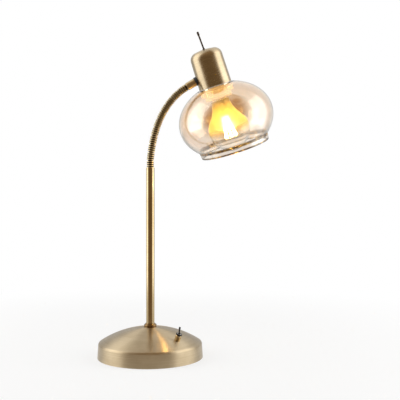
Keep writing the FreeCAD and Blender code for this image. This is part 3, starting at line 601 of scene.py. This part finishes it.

# %% [markdown]
# ## The gooseneck
#
# A gooseneck is a steel tube wound from two wires, plated like the rest. Its crests are
# worn bright by rubbing, and painted shade darkens the grooves, which is what makes the
# ribs read from across a room. Painting stripes would do on a straight tube; here each
# link has its own lean, so each gets its own axis, between the joints at its ends, and the
# painted shade lies where the surface is nearest to that axis.

# %% The axis of each link
link_names = sorted(name for name in nodes if name.startswith("neck_link_"))
hinge_names = sorted((name for name in joints if name.startswith("neck_")),
                     key=lambda name: int(name[-2:]))
hinges = [Vector(joints[name]["pos_m"]) for name in hinge_names]
link_ends = list(zip(hinges, hinges[1:]))
link_lines = ([(hinges[0], UP)] + [(low, (high - low).normalized()) for low, high in link_ends]
              + [(hinges[-1], (middle_of("ferrule") - hinges[-1]).normalized())])
print("neck links", len(link_names))

# %% Ribbed neck, link by link
RIB_EDGES = (0.00485, 0.00535)
# The root colour is painted shade for the grooves between the ribs.
ROOT_PAINTED_SHADE = (0.030, 0.016, 0.006)
CREST_BRIGHT = (0.92, 0.78, 0.50)
ROOT_ROUGHNESS, CREST_POLISH = 0.52, 0.10


def ribbed_metal(name, line):
    """Plated ribs: bright on the crests, darkened by painted shade towards the roots."""
    material, tree, shader = new_material(name)
    grain = use_group(tree, lathe_grain, Centre=tuple(line[0]), Axis=tuple(line[1]),
                      Lines=5200.0)
    crest = between(tree, grain.outputs["Radius"], *RIB_EDGES)
    wear = between(tree, grain.outputs["Patches"], 0.2, 0.6, 0.75, 1.0)
    crest_wear_and_shade = maths(tree, "MULTIPLY", crest, wear)
    # Painted shade: dark towards the roots of the ribs; the crests keep the brass colour, worn
    # unevenly.
    put(tree, blend_colours(tree, crest_wear_and_shade, ROOT_PAINTED_SHADE, CREST_BRIGHT), shader.inputs["Base Color"])
    put(tree, maths(tree, "MULTIPLY_ADD", crest, -CREST_POLISH, ROOT_ROUGHNESS),
        shader.inputs["Roughness"])
    put(tree, grain.outputs["Round"], shader.inputs["Tangent"])
    shader.inputs["Metallic"].default_value = 1.0
    shader.inputs["Anisotropic"].default_value = 0.35
    shader.inputs["Anisotropic Rotation"].default_value = QUARTER_TURN
    bump(tree, shader, grain.outputs["Lines"], 0.2, GRAIN_DEPTH)
    return material


for link_name, link_line in zip(link_names, link_lines):
    finish(ribbed_metal("neck_metal_" + link_name[-2:], link_line), link_name)
print("neck finished, nodes so far", len(finished))

# %% [markdown]
# ## Plain metals, plastics and porcelain
#
# What sits inside the base and the cup is seldom seen, but a part that is taken to bits
# shows it. These finishes differ in four things only: two colours that the surface
# drifts between, how rough it is, and how deep its grain goes. One function makes them
# all, from the mottle or the grit. The cream ring and the porcelain also glow a little
# with painted light, for the light that the bulb throws back on them.


# %% Cloudy and gritty finishes
BULB_LIGHT = (1.0, 0.68, 0.26, 1.0)
COAT_ROUGHNESS = 0.06


def plain_finish(name, first, second, roughness, metal=0.0, size=0.012, group=None,
                 depth=0.00001, coat=0.0, glow=0.0):
    """Surface that drifts between two colours; group is the mottle unless grit is given."""
    material, tree, shader = new_material(name)
    effect = use_group(tree, group or mottle, Size=size)
    wide, fine = effect.outputs[0], effect.outputs[1]
    put(tree, blend_colours(tree, between(tree, wide, 0.3, 0.7), first, second),
        shader.inputs["Base Color"])
    put(tree, maths(tree, "MULTIPLY_ADD", fine, 0.12, roughness - 0.06),
        shader.inputs["Roughness"])
    shader.inputs["Metallic"].default_value = metal
    shader.inputs["Coat Weight"].default_value = coat
    shader.inputs["Coat Roughness"].default_value = COAT_ROUGHNESS
    # Painted light: the glow stands in for the bulb's light thrown back on the piece.
    shader.inputs["Emission Color"].default_value = BULB_LIGHT
    shader.inputs["Emission Strength"].default_value = glow
    bump(tree, shader, wide if group is grit else fine, 0.35, depth)
    return material


# %% Plain metals
finish(plain_finish("cast_iron", (0.035, 0.035, 0.037), (0.085, 0.08, 0.075), 0.62, metal=0.6,
                    size=0.0016, group=grit, depth=0.00025), "base_weight")
finish(plain_finish("zinc_plate", (0.60, 0.60, 0.57), (0.71, 0.70, 0.66), 0.30, metal=1.0,
                    size=0.009), "bottom_plate", "plate_screws", "base_nipple", "base_washer",
       "base_nut", "switch_bushing", "switch_lock_nut", "head_nipple", "head_nut",
       "holder_strap", "strap_screws", "handle_nut")
finish(plain_finish("black_nickel", (0.030, 0.028, 0.027), (0.055, 0.050, 0.046), 0.20,
                    metal=1.0, size=0.004), "switch_lever", "switch_ring_nut")
finish(plain_finish("bare_brass", (0.70, 0.54, 0.27), (0.82, 0.68, 0.38), 0.26, metal=1.0,
                    size=0.006), "holder_shell", "holder_contact", "bulb_contact")
finish(plain_finish("nickel_cap", (0.62, 0.60, 0.56), (0.76, 0.74, 0.69), 0.28, metal=1.0,
                    size=0.006), "bulb_cap")
print("plain metals done, nodes so far", len(finished))

# %% Plastics, rubber and porcelain
finish(plain_finish("foam_pad", (0.018, 0.018, 0.018), (0.040, 0.040, 0.040), 0.90,
                    size=0.0007, group=grit, depth=0.0002), "base_pad")
finish(plain_finish("black_nylon", (0.020, 0.020, 0.021), (0.034, 0.033, 0.033), 0.46,
                    size=0.0006, group=grit, depth=0.00003), "cord_bush", "switch_body",
       "outer_saddle", "inner_saddle")
finish(plain_finish("natural_nylon", (0.78, 0.77, 0.71), (0.86, 0.85, 0.80), 0.42,
                    size=0.010), "terminal_block")
# The cream ring and the porcelain below glow with painted light from the bulb.
finish(plain_finish("cream_ring", (0.77, 0.70, 0.55), (0.84, 0.78, 0.64), 0.34, size=0.010,
                    glow=0.75), "shade_ring")
finish(plain_finish("black_sheath", (0.030, 0.028, 0.027), (0.050, 0.046, 0.044), 0.55,
                    size=0.0009, group=grit, depth=0.00004), "stem_flex")
finish(plain_finish("glazed_porcelain", (0.84, 0.82, 0.77), (0.90, 0.885, 0.85), 0.20,
                    size=0.014, coat=0.8, glow=0.60), "holder_body")
finish(plain_finish("vitrite", (0.020, 0.016, 0.024), (0.045, 0.036, 0.050), 0.14,
                    size=0.005), "bulb_insulator")
finish(plain_finish("silicone", (0.74, 0.71, 0.64), (0.82, 0.79, 0.73), 0.50, size=0.008),
       "shade_gasket")
print("finished so far", len(finished), "of", len(nodes))

# %% [markdown]
# ## Champagne glass
#
# The globe is clear glass with an amber lustre fired on: it looks pale pink-brown in
# front of white, browner where the wall is seen edge-on, and it throws back cool white
# patches of the soft boxes. Glass in Blender needs a wall with an inside and an outside,
# which this solid has, so the light bends as it does in the real one. The lustre is a
# stronger tint near the top of the globe and a film on the surface. A thicker film would
# throw lilac and green, so this one stays thin.


# %% Glass of any tint
GLASS_IOR = 1.47
FILM_IOR = 1.8
DRIFT = 0.008


def glass(name, line, tints, heights, roughness, film=0.0):
    """Transmitting glass whose tint changes smoothly along an axis, and its shader.

    tints has one colour more than heights: each height is where one tint becomes the
    next. DRIFT lets the borders wander by a few millimetres."""
    material, tree, shader = new_material(name)
    grain = use_group(tree, lathe_grain, Centre=tuple(line[0]), Axis=tuple(line[1]), Lines=90.0)
    height = maths(tree, "MULTIPLY_ADD", maths(tree, "SUBTRACT", grain.outputs["Patches"], 0.5),
                   DRIFT, grain.outputs["Height"])
    colour = tints[0]
    for tint, (start, end) in zip(tints[1:], heights):
        colour = blend_colours(tree, between(tree, height, start, end), colour, tint)
    put(tree, colour, shader.inputs["Base Color"])
    shader.inputs["Roughness"].default_value = roughness
    shader.inputs["Metallic"].default_value = 0.0
    shader.inputs["Transmission Weight"].default_value = 1.0
    shader.inputs["IOR"].default_value = GLASS_IOR
    shader.inputs["Thin Film Thickness"].default_value = film
    shader.inputs["Thin Film IOR"].default_value = FILM_IOR
    return material, tree, shader, grain


def retint(tree, shader, mask, tint):
    """Lays one more tint over a shader's base colour where the mask is 1."""
    so_far = shader.inputs["Base Color"].links[0].from_socket
    put(tree, blend_colours(tree, mask, so_far, tint), shader.inputs["Base Color"])


print("glass helpers ready")

# %% [markdown]
# ## The globe
#
# Two things show on the real globe besides its tint. On the belt of one side a painted
# reflection of the bulb's warm light looks brown behind the bulb, and the crease above
# the lip and the lip's own edge get painted shade, dark lines flecked with painted gold
# glints of the bulb's light. They could be painted on a picture, but both follow the
# globe's axis, so heights and bearings about it place them exactly.


# %% The globe
FILM_NM = 85.0
GLOBE_TINTS = ((0.945, 0.86, 0.765), (0.93, 0.77, 0.60))
GLOBE_BORDER = (-0.075, -0.01)
BELT = -0.042
BELT_HALF = 0.023
# The belt's brown is a painted reflection of the bulb's warm light.
BELT_PAINTED_REFLECTION = (0.52, 0.27, 0.11)
BELT_EDGES = (-0.76, -0.90)
# The crease and the lip's edge get painted shade, flecked with painted gold glints.
EDGE_PAINTED_SHADE = (0.10, 0.045, 0.012)
EDGE_PAINTED_GLINT = (0.80, 0.48, 0.12)
CREASE, CREASE_HALF = -0.0868, 0.0030
LIP_END, LIP_HALF = -0.0958, 0.0032
globe, tree, shader, grain = glass("amber_lustre", HEAD, GLOBE_TINTS, (GLOBE_BORDER,), 0.0,
                                   film=FILM_NM)
height = grain.outputs["Height"]
one_side = between(tree, parts_of(tree, grain.outputs["Round"])["X"], *BELT_EDGES)
off_belt = maths(tree, "ABSOLUTE", maths(tree, "SUBTRACT", height, BELT))
on_belt = between(tree, off_belt, BELT_HALF, BELT_HALF * 0.4)
# Painted reflection: brown on the belt of one side, for the bulb's warm light.
retint(tree, shader, maths(tree, "MULTIPLY", one_side, on_belt), BELT_PAINTED_REFLECTION)
glint_flecks = use_group(tree, mottle, Size=0.007)
edge_shade_and_glints = blend_colours(tree, between(tree, glint_flecks.outputs["Cloud"], 0.47, 0.60), EDGE_PAINTED_SHADE,
                            EDGE_PAINTED_GLINT)
# Painted shade along the crease and the lip's edge, with painted gold glints in it.
for level, half in ((CREASE, CREASE_HALF), (LIP_END, LIP_HALF)):
    gap = maths(tree, "ABSOLUTE", maths(tree, "SUBTRACT", height, level))
    retint(tree, shader, between(tree, gap, half, half * 0.55), edge_shade_and_glints)
finish(globe, "glass_shade")
print("globe", globe.name)

# %% [markdown]
# ## The bulb's glass
#
# The bulb's glass is clear, but in the photograph the light of the rods fills it yellow
# from the neck down to the belly, and only the bottom looks clear. To trace that light
# would take thousands of rays for each point. Painted light stands in for it: at those
# heights the glass glows a little and is tinted yellow, with a rougher surface that
# spreads the rods' shine, and it stays clear and smooth at the bottom.


# %% The bulb's glass
# The yellow tints are painted light from the rods; the first tint is the clear glass.
BULB_TINTS_WITH_PAINTED_LIGHT = ((0.985, 0.975, 0.95), (0.99, 0.83, 0.50), (0.99, 0.86, 0.42))
BULB_BORDERS = ((-0.078, -0.062), (-0.060, -0.045))
SPREAD_EDGES = (-0.069, -0.059)
BULB_SMOOTH, BULB_ROUGH = 0.01, 0.34
GLOW_YELLOW = (1.0, 0.70, 0.13, 1.0)
GLOW_STRENGTH = 0.34
GLOW_LOW, GLOW_HIGH = -0.071, -0.030
clear_bulb, tree, shader, grain = glass("clear_bulb", HEAD, BULB_TINTS_WITH_PAINTED_LIGHT, BULB_BORDERS, BULB_SMOOTH)
height = grain.outputs["Height"]
put(tree, between(tree, height, *SPREAD_EDGES, BULB_SMOOTH, BULB_ROUGH),
    shader.inputs["Roughness"])
# Painted light: the glass glows yellow between these heights, for the rods' light caught in it.
shader.inputs["Emission Color"].default_value = GLOW_YELLOW
lit = maths(tree, "MULTIPLY", between(tree, height, GLOW_LOW, GLOW_LOW + 0.014),
            between(tree, height, GLOW_HIGH + 0.01, GLOW_HIGH - 0.01))
put(tree, maths(tree, "MULTIPLY", lit, GLOW_STRENGTH), shader.inputs["Emission Strength"])
finish(clear_bulb, "bulb_glass")
MOUNT_TINTS = ((0.97, 0.96, 0.93), (0.96, 0.94, 0.90))
finish(glass("clear_mount", HEAD, MOUNT_TINTS, ((-0.05, -0.02),), 0.02)[0], "bulb_stem")
print("glass on glass_shade, bulb_glass and bulb_stem")

# %% [markdown]
# ## The lit filament
#
# The bulb burns in the photograph: its rods are too bright to show any shape, and they
# light the lampholder and the inside of the globe yellow. The rods could be left dark
# and a lamp put beside them, but then the glass would show nothing to burn. They shine
# themselves, hottest in the middle of their length, and the metal that joins them
# doesn't.

# %% Filament
GLOW = 1500.0
ROD_SHINE = (1.0, 0.80, 0.48, 1.0)
ROD_LOW = -0.078
ROD_HIGH = -0.046
filament_material, tree, shader = new_material("lit_filament")
grain = use_group(tree, lathe_grain, Centre=tuple(HEAD[0]), Axis=tuple(HEAD[1]), Lines=400.0)
height = grain.outputs["Height"]
above_ring = between(tree, height, ROD_LOW + 0.0008, ROD_LOW + 0.006)
below_hub = between(tree, height, ROD_HIGH + 0.0002, ROD_HIGH - 0.005)
lit = maths(tree, "MULTIPLY", above_ring, below_hub)
put(tree, blend_colours(tree, grain.outputs["Patches"], (0.80, 0.70, 0.45), (0.90, 0.82, 0.60)),
    shader.inputs["Base Color"])
shader.inputs["Roughness"].default_value = 0.5
shader.inputs["Emission Color"].default_value = ROD_SHINE
put(tree, maths(tree, "MULTIPLY_ADD", lit, GLOW, 1.0), shader.inputs["Emission Strength"])
finish(filament_material, "bulb_filament")
print("filament glow", GLOW)

# %% [markdown]
# ## Making new surfaces
#
# A few pieces are too fine for the solids and are worked out here. Blender has tools that
# draw tubes and screws, but a shape that is a formula on a grid says exactly where each
# point lies. All of them stand about the head's axis, so one helper gives the directions
# to measure in, one joins a grid of points with quads, and one makes the piece.


# %% Helpers for new surfaces
def frame_about(line):
    """Three unit directions and the centre of a line: two across it and one along it."""
    centre, way = line
    across = way.orthogonal().normalized()
    return (np.array(across), np.array(way.cross(across)), np.array(way), np.array(centre))


def grid_mesh(name, points, closed_across=False):
    """Mesh through a (long, wide, 3) array of points, with quads between neighbours."""
    long, wide, _ = points.shape
    row = np.arange(long - 1)[:, None]
    column = np.arange(wide if closed_across else wide - 1)[None, :]
    beside = (column + 1) % wide
    corners = np.stack([row * wide + column, row * wide + beside,
                        (row + 1) * wide + beside, (row + 1) * wide + column], axis=-1)
    mesh = bpy.data.meshes.new(name)
    mesh.from_pydata(points.reshape(-1, 3).tolist(), [], corners.reshape(-1, 4).tolist())
    mesh.polygons.foreach_set("use_smooth", np.ones(len(mesh.polygons), dtype=bool))
    mesh.update()
    return mesh


def new_piece(mesh, material):
    """An object for the mesh, at the origin, with its material."""
    piece = bpy.data.objects.new(mesh.name, mesh)
    scene.collection.objects.link(piece)
    mesh.materials.append(material)
    return piece


print("surface helpers ready")

# %% [markdown]
# ## More filament rods
#
# The solids hold four rods. A bulb this bright has eight, and the four between them are
# made here: each is a round rod from the bottom ring up to the hub, a circle carried
# along a straight line, with its end rings drawn in so that no hole is left.

# %% Four rods more
ROD_R = 0.001
RING_R = 0.009
HUB_R = 0.0031


def rods_angle(node, line):
    """Turn of four rods a quarter turn apart: a quarter of the angle of the mean of
    exp(4i * angle) over the corners, in which the round ring and hub cancel out."""
    across, beside, _, centre = frame_about(line)
    outward = corners_of(node) - centre
    angle = np.arctan2(outward @ beside, outward @ across)
    return float(np.angle(np.exp(4j * angle).mean()) / 4)


def filament_rod(name, line, angle):
    """Round rod: centre (r(t), angle, z(t)) about the line, r and z straight in t from
    the ring to the hub; radius ROD_R * sqrt(1 - e^2), e rising to 1 at both ends."""
    across, beside, way, centre = frame_about(line)
    t = np.linspace(0.0, 1.0, 21)[:, None]
    turn = np.linspace(0.0, 2 * np.pi, 14, endpoint=False)[None, :]
    end = np.clip(np.abs(t - 0.5) * 20 - 9, 0.0, 0.9999)
    thick = ROD_R * np.sqrt(1 - end ** 2)
    outward = np.cos(angle) * across + np.sin(angle) * beside
    sideways = np.cross(way, outward)
    reach = RING_R + (HUB_R - RING_R) * t + thick * np.cos(turn)
    height = ROD_LOW + (ROD_HIGH - ROD_LOW) * t
    points = (centre + reach[..., None] * outward + (thick * np.sin(turn))[..., None] * sideways
              + (height + 0 * turn)[..., None] * way)
    piece = new_piece(grid_mesh(name, points, closed_across=True), filament_material)
    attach(piece, "bulb")
    return piece


rod_turn = rods_angle("bulb_filament", HEAD) + np.pi / 4
rods = [filament_rod("filament_rod_%d" % (number + 5), HEAD, rod_turn + number * np.pi / 2)
        for number in range(4)]
print("filament rods", 4 + len(rods))

# %% [markdown]
# ## The thread on the lampholder's skirt
#
# The shade ring screws onto a round thread moulded on the porcelain skirt. In the solids
# the skirt is a plain cylinder, because a thread there would only slow everything down.
# Below the ring it shows through the glass, so it is made here: a bump-shaped ridge
# carried along a helix, which sinks into the skirt at both ends.

# %% Skirt thread
SKIRT_R = 0.0196
THREAD_START = -0.0181
THREAD_END = -0.0131
THREAD_PITCH = 0.0025
THREAD_RISE = 0.0007
THREAD_HALF = 0.00085
THREAD_SINK = 0.0001
STEPS_PER_TURN = 72


def helix_ridge(name, line):
    """Ridge on a helix about the line: r = SKIRT_R - THREAD_SINK + THREAD_RISE
    * cos(pi v / 2)^2 * taper, at height THREAD_START + THREAD_PITCH * u + THREAD_HALF * v.

    u counts turns along the helix and v runs from -1 to 1 across it; taper is a smooth
    rise over the first and last third of a turn."""
    across, beside, way, centre = frame_about(line)
    turns = (THREAD_END - THREAD_START) / THREAD_PITCH
    u = np.linspace(0.0, turns, int(STEPS_PER_TURN * turns) + 1)[:, None]
    v = np.linspace(-1.0, 1.0, 9)[None, :]
    taper = np.clip(np.minimum(u, turns - u) * 3.0, 0.0, 1.0)
    swell = THREAD_RISE * np.cos(np.pi * v / 2) ** 2 * taper ** 2 * (3 - 2 * taper)
    reach = SKIRT_R - THREAD_SINK + swell
    height = THREAD_START + THREAD_PITCH * u + THREAD_HALF * v
    angle = 2 * np.pi * u
    points = (centre + (reach * np.cos(angle))[..., None] * across
              + (reach * np.sin(angle))[..., None] * beside + height[..., None] * way)
    return grid_mesh(name, points[:, ::-1])


skirt_thread = new_piece(helix_ridge("skirt_thread", HEAD), bpy.data.materials["glazed_porcelain"])
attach(skirt_thread, "head")
print("skirt thread", len(skirt_thread.data.polygons), "faces")

# %% [markdown]
# ## Lead wires in the bulb
#
# Two thin wires run from the cap down inside the glass mount to the filament. They are
# part of what makes a clear bulb look real. A wire is a circle carried along a path, and
# because these are nearly straight, a path of a few points on a gentle bow is enough.

# %% Lead wires
WIRE_R = 0.00035
WIRE_TOP = -0.0215
WIRE_LOW = -0.0452
WIRE_SPREAD = 0.0034
WIRE_DRAWN_IN = 0.62


def lead_wire(name, line, side):
    """Round wire: centre c(t) = side * spread(t) across + height(t) along, with
    spread = WIRE_SPREAD * (1 - WIRE_DRAWN_IN * t^1.5) as t goes from 0 to 1."""
    across, beside, way, centre = frame_about(line)
    t = np.linspace(0.0, 1.0, 25)[:, None]
    turn = np.linspace(0.0, 2 * np.pi, 12, endpoint=False)[None, :]
    spread = side * WIRE_SPREAD * (1 - WIRE_DRAWN_IN * t ** 1.5)
    height = WIRE_TOP + (WIRE_LOW - WIRE_TOP) * t
    points = (centre + (spread + WIRE_R * np.cos(turn))[..., None] * across
              + (WIRE_R * np.sin(turn))[..., None] * beside
              + (height + 0 * turn)[..., None] * way)
    piece = new_piece(grid_mesh(name, points[:, ::-1], closed_across=True),
                      bpy.data.materials["nickel_cap"])
    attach(piece, "bulb")
    return piece


wires = [lead_wire("lead_wire_%d" % number, HEAD, side) for number, side in ((1, -1), (2, 1))]
print("lead wires", len(wires))

# %% [markdown]
# ## The last check
#
# Every solid must have a finish.

# %% Solids without a finish, and the end
left_out = sorted(set(nodes) - finished)
print("without a finish:", left_out or "none")
